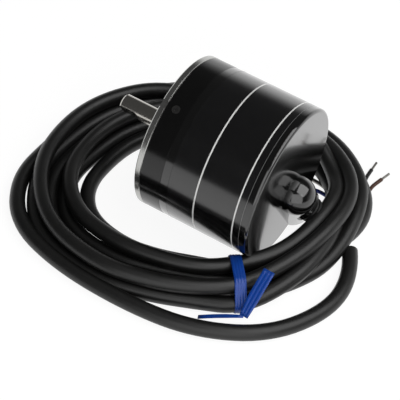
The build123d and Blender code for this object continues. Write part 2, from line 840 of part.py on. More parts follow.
# Board with its standoffs and screws
with BuildPart() as board_standoffs:
    with BuildSketch(Plane.YZ.offset(-flange_plate)):
        with PolarLocations(standoff_circle / 2, standoff_count, start_angle=standoff_first_angle):
            RegularPolygon(standoff_flats / 2, 6, major_radius=False)
    extrude(amount=board_front + flange_plate)
    with BuildSketch(Plane.YZ.offset(board_front)):
        with PolarLocations(standoff_circle / 2, standoff_count, start_angle=standoff_first_angle):
            Circle(standoff_thread / 2 + slip_clearance)
    extrude(amount=board_screw_length - board_thickness + slip_clearance, mode=Mode.SUBTRACT)
    with BuildSketch(Plane.YZ.offset(-flange_plate)):
        with PolarLocations(standoff_circle / 2, standoff_count, start_angle=standoff_first_angle):
            Circle(standoff_thread / 2)
    extrude(amount=standoff_thread_length)
board_standoffs.part.label = "board_standoffs"
export_step(board_standoffs.part, "parts/board_standoffs.step")

with BuildPart() as main_board:
    with BuildSketch(Plane.YZ.offset(board_front)):
        Circle(board_diameter / 2)
        Circle(board_hole_diameter / 2, mode=Mode.SUBTRACT)
        with PolarLocations(standoff_circle / 2, standoff_count, start_angle=standoff_first_angle):
            Circle(standoff_thread / 2 + 2 * slip_clearance, mode=Mode.SUBTRACT)
    extrude(amount=-board_thickness)
main_board.part.label = "main_board"
export_step(main_board.part, "parts/main_board.step")

with BuildPart() as board_screws:
    with BuildSketch(Plane.YZ.offset(board_rear)):
        with PolarLocations(standoff_circle / 2, standoff_count, start_angle=standoff_first_angle):
            Circle(board_screw_head_diameter / 2)
    extrude(amount=-board_screw_head_height)
    with BuildSketch(Plane.YZ.offset(board_rear)):
        with PolarLocations(standoff_circle / 2, standoff_count, start_angle=standoff_first_angle):
            Circle(standoff_thread / 2)
    extrude(amount=board_screw_length)
    with BuildSketch(Plane.YZ.offset(board_rear - board_screw_head_height)):
        with PolarLocations(standoff_circle / 2, standoff_count, start_angle=standoff_first_angle):
            Rectangle(screw_cross_length, screw_cross_width)
            Rectangle(screw_cross_width, screw_cross_length)
    extrude(amount=screw_cross_depth, mode=Mode.SUBTRACT)
board_screws.part.label = "board_screws"
export_step(board_screws.part, "parts/board_screws.step")

# Sensor side: carrier on the board, photodiode array in it, slotted mask plate on its front
mask_front = disc_x - disc_thickness - mask_gap
carrier_front = mask_front - mask_thickness
with BuildPart() as sensor_carrier:
    with BuildSketch(Plane.YZ.offset(board_front)):
        with Locations(optics):
            Rectangle(carrier_radial, carrier_width)
            Rectangle(carrier_radial - 2 * carrier_wall, carrier_width - 2 * carrier_wall, mode=Mode.SUBTRACT)
    extrude(amount=carrier_front - board_front)
sensor_carrier.part.label = "sensor_carrier"
export_step(sensor_carrier.part, "parts/sensor_carrier.step")

with BuildPart() as mask_plate:
    with BuildSketch(Plane.YZ.offset(mask_front)):
        with Locations(optics):
            Rectangle(carrier_radial, carrier_width)
        for k in range(mask_slot_count):
            turn = optics_angle + (k - (mask_slot_count - 1) / 2) * 360 / slot_count
            with Locations(Rotation(0, 0, turn) * Location((track_radius, 0))):
                Rectangle(slot_length, slot_width, mode=Mode.SUBTRACT)
    extrude(amount=-mask_thickness)
mask_plate.part.label = "mask_plate"
export_step(mask_plate.part, "parts/mask_plate.step")

diode_radial = carrier_radial - 2 * (carrier_wall + photodiode_gap)
diode_width = carrier_width - 2 * (carrier_wall + photodiode_gap)
with BuildPart() as photodiode_array:
    with BuildSketch(Plane.YZ.offset(board_front)):
        with Locations(optics):
            Rectangle(diode_radial, diode_width)
    extrude(amount=photodiode_height)
photodiode_array.part.label = "photodiode_array"
export_step(photodiode_array.part, "parts/photodiode_array.step")


def chip(y, z, width, depth, height, legs, leg_pitch):
    """Moulded chip with gull-wing legs along its two long sides, on the rear of the board."""
    with BuildPart() as body:
        with BuildSketch(Plane.YZ.offset(board_rear - chip_standoff)):
            with Locations((y, z)):
                Rectangle(width, depth)
        extrude(amount=-height)
        chamfer(body.edges().group_by(Axis.X)[0], chip_chamfer)
        with BuildSketch(Plane.YZ.offset(board_rear)):
            with Locations((y, z)):
                with GridLocations(leg_pitch, depth + chip_leg_reach, legs, 2):
                    Rectangle(chip_leg_width, chip_leg_reach)
        extrude(amount=-chip_leg_thickness)
        with BuildSketch(Plane.YZ.offset(board_rear)):
            with Locations((y, z)):
                with GridLocations(leg_pitch, depth + chip_leg_thickness, legs, 2):
                    Rectangle(chip_leg_width, chip_leg_root)
        extrude(amount=-height / 2)
    return body


driver_chip = chip(y=-8.0, z=1.0, width=6.0, depth=4.0, height=1.5, legs=5, leg_pitch=1.1)
driver_chip.part.label = "driver_chip"
export_step(driver_chip.part, "parts/driver_chip.step")

regulator_chip = chip(y=9.0, z=1.5, width=4.2, depth=3.2, height=1.4, legs=3, leg_pitch=1.2)
regulator_chip.part.label = "regulator_chip"
export_step(regulator_chip.part, "parts/regulator_chip.step")

with BuildPart() as filter_capacitors:
    with BuildSketch(Plane.YZ.offset(board_rear)):
        with Locations((capacitor_side, -capacitor_drops[0]), (-capacitor_side, -capacitor_drops[1])):
            Circle(capacitor_diameter / 2)
    extrude(amount=-capacitor_height)
    fillet(filter_capacitors.edges().filter_by(GeomType.CIRCLE).group_by(Axis.X)[0], capacitor_round)
filter_capacitors.part.label = "filter_capacitors"
export_step(filter_capacitors.part, "parts/filter_capacitors.step")

with BuildPart() as chip_resistors:
    with BuildSketch(Plane.YZ.offset(board_rear)):
        with Locations((0, resistor_row)):
            with GridLocations(*resistor_pitch, 4, 2):
                Rectangle(*resistor_size[:2])
    extrude(amount=-resistor_size[2])
chip_resistors.part.label = "chip_resistors"
export_step(chip_resistors.part, "parts/chip_resistors.step")

# Cable header: open towards the outlet, with one pin for each core
header_x = board_rear - header_height / 2
with BuildPart() as cable_header:
    with BuildSketch(Plane.YZ.offset(board_rear)):
        with Locations((0, header_z)):
            Rectangle(header_width, header_depth)
    extrude(amount=-header_height)
    core_hole = core_diameter / 2 + slip_clearance
    with BuildSketch(Plane(origin=(header_x, 0, header_z - header_depth / 2), x_dir=(0, 1, 0), z_dir=(0, 0, -1))):
        with GridLocations(header_pitch, 1, header_pins, 1):
            Circle(core_hole)
    extrude(amount=-header_hole_depth, mode=Mode.SUBTRACT)
cable_header.part.label = "cable_header"
export_step(cable_header.part, "parts/cable_header.step")

# Cores between the jacket's end and the header
with BuildPart() as inner_cores:
    for k in range(header_pins):
        place = k - (header_pins - 1) / 2
        start_plane = on_outlet(jacket_end_reach)
        lift = inner_core_lift if k % 2 else -inner_core_lift
        start = start_plane.from_local_coords((place * inner_core_spacing, lift, 0))
        bend = start - outlet_way * inner_core_straight
        entry = Vector(header_x, place * header_pitch, header_z - header_depth / 2 - inner_core_entry)
        end = Vector(header_x, place * header_pitch, header_z - header_depth / 2 + inner_core_seat)
        with BuildLine() as core_path:
            FilletPolyline(start, bend, entry, end, radius=inner_core_bend)
        with BuildSketch(Plane(origin=start, z_dir=-outlet_way)):
            Circle(inner_core_diameter / 2)
        sweep(path=core_path.line)
inner_cores.part.label = "inner_cores"
export_step(inner_cores.part, "parts/inner_cores.step")

# Cable clamp crimped on the jacket inside the cover
with BuildPart() as cable_clamp:
    clamp_start = bush_inner_reach - slip_clearance - clamp_length
    with BuildSketch(on_outlet(clamp_start)):
        Circle(cable_radius + clamp_wall)
        Circle(cable_radius + press_clearance, mode=Mode.SUBTRACT)
    extrude(amount=clamp_length)
cable_clamp.part.label = "cable_clamp"
export_step(cable_clamp.part, "parts/cable_clamp.step")

# Rubber bush: plain inside the cover, then a ribbed collar and a tapered nose round the cable
bush_radius = bush_diameter / 2
bush_tip_radius = bush_tip_diameter / 2
bush_bore_radius = cable_radius + slip_clearance
collar_end = stub_reach + bush_collar
with BuildPart() as cable_bush:
    bush_plane = Plane(origin=outlet_mouth, x_dir=outlet_way, z_dir=outlet_side)
    with BuildSketch(bush_plane):
        with BuildLine():
            Polyline(
                (bush_inner_reach, bush_bore_radius),
                (bush_inner_reach, bush_radius),
                (collar_end, bush_radius),
                (bush_tip_reach, bush_tip_radius),
                (bush_tip_reach, bush_bore_radius),
                close=True,
            )
        make_face()
        for k in range(2):
            groove = stub_reach + bush_collar / 2 + (k - 0.5) * 2 * bush_rib_width
            with Locations((groove, bush_radius)):
                Rectangle(bush_rib_width, 2 * bush_rib_depth, mode=Mode.SUBTRACT)
    revolve(axis=Axis(origin=outlet_mouth, direction=outlet_way))
cable_bush.part.label = "cable_bush"
export_step(cable_bush.part, "parts/cable_bush.step")


def corner_radii(points):
    """Radius of each corner of a route: 0.45 of its shorter run over the tangent of half its turn."""
    radii = []
    for before, corner, after in zip(points, points[1:], points[2:]):
        turn = (corner - before).get_angle(after - corner)
        shorter = min((corner - before).length, (after - corner).length)
        radii.append(0.45 * shorter / tan(radians(turn / 2)))
    return radii


def cord_tube(points, diameter, label):
    """Round tube along a route of straight runs joined by tangent arcs."""
    points = [Vector(p) for p in points]
    radii = corner_radii(points)
    with BuildPart() as cord:
        with BuildLine() as route:
            FilletPolyline(*points, radius=radii)
        with BuildSketch(Plane(origin=points[0], z_dir=points[1] - points[0])):
            Circle(diameter / 2)
        sweep(path=route.line)
    length = sum(e.length for e in route.edges())
    share = cord.part.volume / (pi * diameter**2 / 4 * length)
    print(label, "radii", [round(r, 1) for r in radii], "length", round(length, 1), "volume share", round(share, 4))
    return cord


# Cable lead: through the clamp and the bush, then down into the coil
cable_floor = floor_z + cable_radius
lead_bend = outlet_mouth + outlet_way * lead_straight
lead_points = [
    outlet_mouth + outlet_way * jacket_end_reach,
    lead_bend,
    (-53.2, -20.5, cable_floor),
    (-50.0, -33.0, cable_floor),
]
cable_lead = cord_tube(lead_points, cable_diameter, "cable_lead")
cable_lead.part.label = "cable_lead"
export_step(cable_lead.part, "parts/cable_lead.step")

# Cable coil: the outer shape of the turns that lie together, in two layers
coil_outline = [
    (41, 2), (32, 32), (11, 45), (-14, 45.5), (-38, 40), (-56, 18),
    (-61, -8), (-56, -32), (-36, -48.5), (-10, -52), (17, -40), (36, -18),
]
lower_opening = [
    (17.5, 5), (13, 24), (-4, 30), (-24, 27), (-42, 12.5), (-46, -4),
    (-46, -20), (-40, -33), (-27, -39.5), (-10, -40), (4, -33), (14, -15),
]
upper_opening = [
    (25, 5), (20, 24), (6, 33), (-12, 34), (-28, 28), (-39.8, 19.8), (-44.6, 9),
    (-46, -4), (-46, -20), (-40, -32), (-28, -38), (-10, -39), (9, -32), (21, -15),
]
with BuildPart() as cable_coil:
    for level, opening in enumerate((lower_opening, upper_opening)):
        with BuildSketch(Plane.XY.offset(floor_z + level * coil_layer)):
            with BuildLine():
                Spline(*coil_outline, periodic=True)
            make_face()
            with BuildLine():
                Spline(*opening, periodic=True)
            make_face(mode=Mode.SUBTRACT)
        extrude(amount=coil_layer)
    fillet(cable_coil.edges().group_by(Axis.Z)[-1], coil_round)
    with BuildSketch(on_outlet(-2)):
        Circle(coil_relief / 2)
    extrude(amount=coil_relief_reach + 2, mode=Mode.SUBTRACT)
cable_coil.part.label = "cable_coil"
export_step(cable_coil.part, "parts/cable_coil.step")

# Outer loop: one slack turn that leaves the coil near the shaft and comes back behind the rear cover
outer_loop_points = [
    (37.0, -8.0, cable_floor),
    (40.0, 10.0, cable_floor),
    (39.5, 30.0, cable_floor),
    (28.0, 46.5, cable_floor),
    (7.0, 52.5, cable_floor),
    (-17.0, 52.0, cable_floor),
    (-38.0, 48.0, cable_floor),
    (-57.0, 36.5, cable_floor),
    (-67.0, 17.5, cable_floor),
    (-66.0, 0.0, cable_floor),
    (-57.0, -14.0, cable_floor),
]
cable_outer_loop = cord_tube(outer_loop_points, cable_diameter, "cable_outer_loop")
cable_outer_loop.part.label = "cable_outer_loop"
export_step(cable_outer_loop.part, "parts/cable_outer_loop.step")

# Stripped end: cores and shield drain fanned out on the floor beside the coil, with tinned tips
core_z = floor_z + core_diameter / 2
core_routes = {
    "core_white": [(-47.5, -30.0), (-43.0, -31.8), (-38.5, -33.8), (-34.5, -35.0)],
    "shield_drain": [(-47.5, -26.5), (-43.5, -28.3), (-39.0, -29.8), (-34.5, -30.0)],
    "core_blue": [(-47.0, -24.0), (-43.5, -26.3), (-39.5, -26.6), (-36.0, -25.2)],
    "core_black": [(-51.0, -36.5), (-49.5, -41.5), (-49.3, -46.0)],
    "core_brown": [(-54.2, -31.0), (-52.8, -38.5), (-54.0, -44.0)],
}
with BuildPart() as core_tips:
    for route in core_routes.values():
        tip_start = Vector(*route[-1], core_z)
        tip_way = (tip_start - Vector(*route[-2], core_z)).normalized()
        with BuildSketch(Plane(origin=tip_start, z_dir=tip_way)):
            Circle(core_tip_diameter / 2)
        extrude(amount=core_tip_length)
core_tips.part.label = "core_tips"
export_step(core_tips.part, "parts/core_tips.step")

for name, route in core_routes.items():
    core = cord_tube([(x, y, core_z) for x, y in route], core_diameter, name)
    core.part.label = name
    export_step(core.part, f"parts/{name}.step")

# Blue twist tie: a flat band round the coil with a twist and two loose ends
tie_centre = Vector(-41.3, 28.7, floor_z + tie_height / 2)
tie_across = Vector(-0.627, 0.779, 0)
tie_tangent = Vector(0.779, 0.627, 0)
twist_start = Vector(-47.3, 36.6, -18.6)
twist_end = Vector(-48.2, 37.4, -19.4)
broad_end = Vector(-48.5, 24.8, -10.4)
thin_end = Vector(-36.0, 42.3, -23.6)
with BuildPart() as cable_tie:
    with BuildSketch(Plane(origin=tie_centre, x_dir=tie_across, z_dir=tie_tangent)):
        RectangleRounded(tie_reach, tie_height, tie_corner)
        RectangleRounded(
            tie_reach - 2 * tie_thickness,
            tie_height - 2 * tie_thickness,
            tie_corner - tie_thickness,
            mode=Mode.SUBTRACT,
        )
    extrude(amount=tie_width / 2, both=True)
    with BuildSketch(Plane(origin=twist_start, z_dir=twist_end - twist_start)):
        Circle(twist_diameter / 2)
    extrude(amount=(twist_end - twist_start).length)
    for end, width in ((broad_end, tie_tail_width), (thin_end, tie_wire_width)):
        tail = end - twist_end
        with BuildSketch(Plane(origin=twist_end, x_dir=tail.cross(Vector(0, 0, 1)), z_dir=tail)):
            Rectangle(width, tie_thickness)
        extrude(amount=tail.length)
cable_tie.part.label = "cable_tie"
export_step(cable_tie.part, "parts/cable_tie.step")
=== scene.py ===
import math

import bpy
from mathutils import Matrix, Vector


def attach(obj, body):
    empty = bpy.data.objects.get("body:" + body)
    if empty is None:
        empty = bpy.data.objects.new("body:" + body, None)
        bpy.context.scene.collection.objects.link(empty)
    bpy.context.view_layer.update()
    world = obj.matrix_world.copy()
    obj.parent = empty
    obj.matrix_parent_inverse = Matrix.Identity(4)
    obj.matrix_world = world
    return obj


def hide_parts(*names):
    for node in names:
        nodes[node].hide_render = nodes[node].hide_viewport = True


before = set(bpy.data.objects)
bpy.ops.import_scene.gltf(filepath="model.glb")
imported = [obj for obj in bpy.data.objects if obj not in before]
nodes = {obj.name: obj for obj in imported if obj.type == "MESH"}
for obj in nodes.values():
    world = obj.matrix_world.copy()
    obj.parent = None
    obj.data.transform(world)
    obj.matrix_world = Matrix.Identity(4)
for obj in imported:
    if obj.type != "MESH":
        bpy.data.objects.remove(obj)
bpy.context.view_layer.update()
MM = 0.001
FLOOR = -0.025
CABLE = 5.0


def colour(code):
    """sRGB hex to the linear RGBA that shaders take."""
    parts = [int(code[i : i + 2], 16) / 255 for i in (0, 2, 4)]
    return tuple(c / 12.92 if c < 0.04045 else ((c + 0.055) / 1.055) ** 2.4 for c in parts) + (1.0,)


def add(tree, kind, x=0, **inputs):
    """One node, with its inputs set or linked by name."""
    node = tree.nodes.new(kind)
    node.location = (x, 0)
    for name, value in inputs.items():
        socket = node.inputs[name.replace("_", " ")]
        if isinstance(value, bpy.types.NodeSocket):
            tree.links.new(value, socket)
        else:
            socket.default_value = value
    return node


def material(name, base, roughness, metallic=0.0, dark=None, spread=0.04, grain=0.5, stretch=(1, 1, 1),
             relief=0.0, relief_grain=0.3, turned=False, **sockets):
    """Principled material: two tones, an uneven roughness and a fine relief from noise.

    grain and relief_grain are the sizes in mm of the patches of tone and of the relief.
    relief is the height of the relief in mm.
    turned lays the noise in rings about the shaft axis, as a lathe tool does."""
    mat = bpy.data.materials.new(name)
    mat.use_nodes = True
    tree = mat.node_tree
    shader = tree.nodes["Principled BSDF"]
    shader.inputs["Metallic"].default_value = metallic
    for key, value in sockets.items():
        shader.inputs[key.replace("_", " ")].default_value = value
    place = add(tree, "ShaderNodeTexCoord", -1400).outputs["Object"]
    if turned:
        parts = add(tree, "ShaderNodeSeparateXYZ", -1300, Vector=place)
        flat = add(tree, "ShaderNodeCombineXYZ", -1200, Y=parts.outputs["Y"], Z=parts.outputs["Z"])
        away = add(tree, "ShaderNodeVectorMath", -1100)
        away.operation = "LENGTH"
        tree.links.new(flat.outputs["Vector"], away.inputs[0])
        rings = add(tree, "ShaderNodeCombineXYZ", -1000, X=parts.outputs["X"], Y=away.outputs["Value"])
        place = rings.outputs["Vector"]
    mapped = add(tree, "ShaderNodeMapping", -900, Vector=place, Scale=stretch).outputs["Vector"]
    noise = add(tree, "ShaderNodeTexNoise", -700, Vector=mapped, Scale=1 / (grain * MM), Detail=4.0)
    tones = add(tree, "ShaderNodeMix", -300, Factor=noise.outputs["Fac"])
    tones.data_type = "RGBA"
    tones.inputs[6].default_value = colour(base)
    tones.inputs[7].default_value = colour(dark or base)
    tree.links.new(tones.outputs[2], shader.inputs["Base Color"])
    rough = add(tree, "ShaderNodeMapRange", -500, Value=noise.outputs["Fac"])
    rough.inputs["To Min"].default_value = max(0.03, roughness - spread)
    rough.inputs["To Max"].default_value = roughness + spread
    tree.links.new(rough.outputs["Result"], shader.inputs["Roughness"])
    if relief:
        fine = add(tree, "ShaderNodeTexNoise", -700, Vector=mapped, Scale=1 / (relief_grain * MM), Detail=2.0)
        bump = add(tree, "ShaderNodeBump", -300, Height=fine.outputs["Fac"], Distance=relief * MM)
        tree.links.new(bump.outputs["Normal"], shader.inputs["Normal"])
    return mat


def dress(mat, *names):
    for name in names:
        mesh = nodes[name].data
        mesh.materials.clear()
        mesh.materials.append(mat)


# Camera, fitted to the photograph
camera = bpy.data.objects.new("camera", bpy.data.cameras.new("camera"))
bpy.context.collection.objects.link(camera)
right = Vector((-0.8488, -0.5181, 0.1052))
up = Vector((0.4370, -0.5755, 0.6913))
back = right.cross(up).normalized()
up = back.cross(right).normalized()
camera.matrix_world = Matrix((right.normalized(), up, back)).transposed().to_4x4()
camera.location = (-0.1627, 0.3225, 0.3398)
camera.data.sensor_width = 36.0
camera.data.sensor_fit = "HORIZONTAL"
camera.data.lens = 144.4
camera.data.clip_start = 0.01
bpy.context.scene.camera = camera

# Cable: out of the rear cover, round six times, then one slack turn outside the coil
# Guide: the middle line of the innermost turn on the floor,
# at 16 stations from the shaft round by the camera side
guide = [
    (20.9, 3), (20.2, 18.5), (11.8, 29.5), (-3, 32.6), (-15, 30.0), (-26.0, 25.2), (-36.0, 21.3), (-43.4, 11),
    (-47.8, -1), (-48.6, -18), (-44.6, -28.5), (-31.5, -37.0), (-14, -34), (1, -28.5), (12.0, -19.5),
    (18.6, -9),
]
# Each turn in the order it is wound: how far outside the guide it lies and how high above the floor
turns = [
    ([0] * 9 + [5.1] * 7, [2.5] * 16),
    ([5.1, 6.8, 8, 6.6, 5.1, 5, 5, 5, 5.2, 10.8, 10.6, 10.2, 10.2, 10.2, 10.2, 10.2], [2.5] * 16),
    ([10.2, 11.9, 13.1, 11.7, 10.2, 9.9, 10, 10, 10.6, 8.6, 8.4, 9, 12, 15, 15.3, 15.3],
     [2.5] * 8 + [3.2, 6.8, 6.8, 6.6, 5, 2.5, 2.5, 2.5]),
    ([15.3, 17, 18.1, 16.7, 15.2, 14.8, 14.6, 11.6, 7.4, 3.6, 3.4, 4, 6.5, 10, 16.5, 18],
     [2.5] * 6 + [3, 6.6, 7.2, 6.8, 6.8, 6.8, 6.8, 6.8, 7.2, 6.8]),
    ([18.3, 16, 14.8, 14.6, 14.2, 13.6, 9.8, 6.5, 6, 5.4, 3.2, 2, 2.5, 5, 7.5, 8],
     [6.8, 7.2, 7.4, 7.4, 7.4, 7.3, 7.3, 8.2, 11.4, 11.4, 11.5, 11.5, 10.5, 8.5, 7.2, 6.8]),
    ([8, 6.6, 4.8, 4, 4.6, 5.6, 1.4, 1.5, 1.3, 0.7, -1.3, -1.8, 6, 15, 20, 20.5],
     [6.8, 7.2, 7.3, 7.3, 7.3, 7.3, 7.2, 7.6, 10.4, 11.6, 10, 14, 17, 8, 2.6, 2.5]),
]
outlet_out = Vector((0, math.cos(math.radians(-120.5)), math.sin(math.radians(-120.5))))
outlet_way = (Vector((-1, 0, 0)) + outlet_out).normalized()
outlet_mouth = Vector((-39.5, 0, 0)) + outlet_out * 10.7
route = [outlet_mouth + outlet_way * reach for reach in (-11, -2, 6, 13.5)]
# The lead comes down to the floor and runs along the guide to the first turn
route.append(Vector((-50, -14.5, -20)))
for i in range(9, 16):
    route.append(Vector((*guide[i], -22 if i == 9 else -22.5)))
for offsets, heights in turns:
    for i, (offset, height) in enumerate(zip(offsets, heights)):
        along = Vector(guide[(i + 1) % 16]) - Vector(guide[i - 1])
        outwards = Vector((along.y, -along.x)).normalized()
        outwards *= 1 if outwards.dot(Vector(guide[i]) + Vector((10, 4))) > 0 else -1
        route.append(Vector((*(Vector(guide[i]) + outwards * offset), -25 + height)))
outer_loop = [
    (39.8, 11), (39.3, 28.5), (28.6, 44.2), (8, 50.5), (-17, 51.3),
    (-38, 48), (-57, 36.5), (-67, 17.5), (-66, 1), (-60.8, -7.8),
]
route += [Vector((x, y, -22.5)) for x, y in outer_loop]


def cord(name, points, diameter, mat, resolution=8):
    curve = bpy.data.curves.new(name, "CURVE")
    curve.dimensions = "3D"
    spline = curve.splines.new("NURBS")
    spline.points.add(len(points) - 1)
    for point, place in zip(spline.points, points):
        point.co = (*(Vector(place) * MM), 1)
    spline.order_u = 3
    spline.use_endpoint_u = True
    spline.resolution_u = resolution
    curve.bevel_depth = diameter / 2 * MM
    curve.bevel_resolution = 7
    curve.use_fill_caps = True
    curve.materials.append(mat)
    piece = bpy.data.objects.new(name, curve)
    bpy.context.collection.objects.link(piece)
    return piece


# Soft PVC jacket, extruded: a dull sheen with faint lengthwise unevenness
jacket = material("extruded soft PVC", "0e0e0e", 0.4, dark="131312", spread=0.05, grain=1.6,
                  relief=0.006, relief_grain=0.5, IOR=1.5)
cable = cord("cable", route, CABLE, jacket)
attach(cable, "housing")
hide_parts("cable_lead", "cable_coil", "cable_outer_loop")

# Turned aluminium: bright, with fine rings from the lathe tool, 0.12 mm apart
turned_aluminium = material("turned aluminium", "c9c9c6", 0.24, 1.0, dark="a9a9a7", spread=0.08, grain=0.25,
                            relief=0.0015, relief_grain=0.12, turned=True)
dress(turned_aluminium, "front_flange", "disc_hub", "disc_clamp")
# Baked black enamel on the aluminium ring: smooth and deep black
enamel = material("baked black enamel", "070707", 0.17, dark="090909", grain=3.0, relief=0.0008,
                  relief_grain=0.4, IOR=1.5)
dress(enamel, "case_ring")
# Black ABS, moulded in a polished tool, under a clear hard coat: it mirrors the floor at a low angle
polished_abs = material("polished black ABS", "040404", 0.16, dark="050505", spread=0.02, grain=4.0,
                        relief=0.0006, relief_grain=0.8, IOR=1.53, Coat_Weight=0.9, Coat_Roughness=0.08)
dress(polished_abs, "rear_cover")
# Ground stainless steel: clear reflections drawn out along the grinding marks, 0.1 mm apart
ground_steel = material("ground stainless steel", "cbc8c2", 0.2, 1.0, dark="b4b1ab", spread=0.05, grain=0.2,
                        relief=0.001, relief_grain=0.1, turned=True)
dress(ground_steel, "shaft", "race_spacer")
# Rolled spring steel and stainless sheet: flat grey metal with a faint rolled grain
rolled_steel = material("rolled stainless sheet", "b4b2ae", 0.3, 1.0, dark="9c9a97", grain=0.6,
                        stretch=(1, 1, 0.15))
dress(rolled_steel, "preload_spring", "bearing_retainer", "code_disc")
# Chromium bearing steel, lapped: the brightest metal here
bearing_steel = material("lapped bearing steel", "c8c8c8", 0.08, 1.0, dark="bcbcbc", spread=0.02, grain=0.8)
dress(bearing_steel, *[f"{end}_bearing_{part}" for end in ("front", "rear")
                       for part in ("inner_race", "outer_race", "balls", "shields")])
# Black oxide on steel: oily near-black with low contrast
oxide = material("black oxide steel", "161616", 0.36, dark="222120", grain=0.5, relief=0.003,
                 relief_grain=0.15, IOR=1.6)
dress(oxide, "case_screws", "front_circlip", "rear_circlip", "hub_set_screw")
# Zinc plate: bluish bright with cloudy patches
zinc = material("zinc plated steel", "aeb2b6", 0.28, 1.0, dark="94999e", spread=0.08, grain=0.7)
dress(zinc, "retainer_screws", "board_screws", "cable_clamp")
# Free-cutting brass, turned
brass = material("turned brass", "c8a24c", 0.24, 1.0, dark="b08a3c", grain=0.3)
dress(brass, "board_standoffs")
# Natural nylon, moulded: milky, with a little light passing through
nylon = material("natural nylon", "d8d2c0", 0.42, dark="cfc8b4", grain=1.0, IOR=1.53, Subsurface_Weight=0.15,
                 Subsurface_Scale=0.001)
dress(nylon, "front_bearing_cage", "rear_bearing_cage", "cable_header")
# Nitrile rubber, moulded: dull black that catches only broad light
nitrile = material("moulded nitrile rubber", "0e0e0e", 0.5, dark="151515", spread=0.08, grain=0.8,
                   relief=0.008, relief_grain=0.25, IOR=1.52)
dress(nitrile, "cover_o_ring", "dust_seal", "cable_bush")
# Glass-filled moulding compound: even dark grey with a fine sandy skin
compound = material("moulding compound", "1a1a1a", 0.55, dark="242424", grain=0.3, relief=0.004,
                    relief_grain=0.12, IOR=1.55)
dress(compound, "emitter_holder", "sensor_carrier", "driver_chip", "regulator_chip", "chip_resistors")
# Cast epoxy of the emitter and its lens: clear
epoxy = material("clear cast epoxy", "e8ecf0", 0.06, dark="e0e6ec", spread=0.01, grain=2.0, IOR=1.54,
                 Transmission_Weight=0.95)
dress(epoxy, "emitter", "collimator_lens")
# Chrome-masked glass
mask_glass = material("masked float glass", "c4d0cc", 0.05, dark="b8c6c2", spread=0.01, grain=2.0, IOR=1.52,
                      Transmission_Weight=0.8)
dress(mask_glass, "mask_plate")
# Polished silicon with a blue nitride film
silicon = material("polished silicon", "20243c", 0.12, dark="2a2c4a", grain=0.4, IOR=1.9)
dress(silicon, "photodiode_array")
# Tinned copper, stranded and dipped: dull silver
tinned = material("tinned copper", "a9a7a2", 0.34, 1.0, dark="85827d", spread=0.1, grain=0.25, relief=0.01,
                  relief_grain=0.2)
dress(tinned, "emitter_leads", "core_tips", "shield_drain")
# Epoxy glass board under green solder mask
solder_mask = material("green solder mask", "0c4a26", 0.3, dark="0f5a2e", grain=1.2, relief=0.004,
                       relief_grain=0.4, IOR=1.5)
dress(solder_mask, "main_board")
# Drawn aluminium cans
drawn_can = material("drawn aluminium", "b8b8ba", 0.26, 1.0, dark="9e9ea0", grain=0.4, stretch=(0.2, 1, 1))
dress(drawn_can, "filter_capacitors")
# Core insulation: plain PVC, one colour each
for piece, name, base, dark in (
    ("core_white", "white PVC insulation", "d6d5d0", "c6c5bf"),
    ("core_blue", "blue PVC insulation", "14309a", "102880"),
    ("core_black", "black PVC insulation", "141414", "1c1c1c"),
    ("core_brown", "brown PVC insulation", "4a2a18", "3c2213"),
    ("inner_cores", "brown PVC insulation inside", "4a2a18", "3c2213"),
):
    dress(material(name, base, 0.38, dark=dark, grain=0.6, relief=0.004, relief_grain=0.3, IOR=1.5), piece)

# Polyester label film, glossy black under a clear laminate, with two white printed rules that run round the
# case and a thin grey painted highlight near its rear edge, where the film's edge catches light
label = material("glossy polyester film", "050506", 0.2, dark="070708", spread=0.04, grain=2.5, relief=0.0012,
                 relief_grain=0.9, IOR=1.6, Coat_Weight=0.7, Coat_Roughness=0.15)
tree = label.node_tree
along_case = add(tree, "ShaderNodeSeparateXYZ", -1300,
                 Vector=tree.nodes["Texture Coordinate"].outputs["Object"]).outputs["X"]
film_tone = tree.nodes["Mix"].outputs[2]
# The grey line at -36.75 mm is a painted highlight on the film's rear edge; the two white lines are print
for stripe, half_width, tone in ((-20.9, 0.24, "e2e2e0"), (-34.3, 0.22, "e2e2e0"), (-36.75, 0.07, "6a6a6a")):
    band = add(tree, "ShaderNodeMath", -500)
    band.operation = "COMPARE"
    tree.links.new(along_case, band.inputs[0])
    band.inputs[1].default_value = stripe * MM
    band.inputs[2].default_value = half_width * MM
    print_and_highlight = add(tree, "ShaderNodeMix", -200, Factor=band.outputs["Value"])
    print_and_highlight.data_type = "RGBA"
    tree.links.new(film_tone, print_and_highlight.inputs[6])
    print_and_highlight.inputs[7].default_value = colour(tone)
    film_tone = print_and_highlight.outputs[2]
tree.links.new(film_tone, tree.nodes["Principled BSDF"].inputs["Base Color"])
dress(label, "label_film")

# Twist tie: a ribbed strip of blue plastic with a wire in it, round all the turns that lie together
tie_plastic = material("blue polyethylene strip", "0845a4", 0.35, dark="063584", spread=0.08, grain=0.9,
                       stretch=(1, 1, 0.3), relief=0.01, relief_grain=0.4, IOR=1.51,
                       Subsurface_Weight=0.08, Subsurface_Scale=0.001)


def curve_point(before, middle, after, t):
    """Point on the cable's own curve, which is quadratic between the middles of the route's legs."""
    return before * ((1 - t) ** 2 / 2) + middle * (0.5 + t - t * t) + after * (t * t / 2)


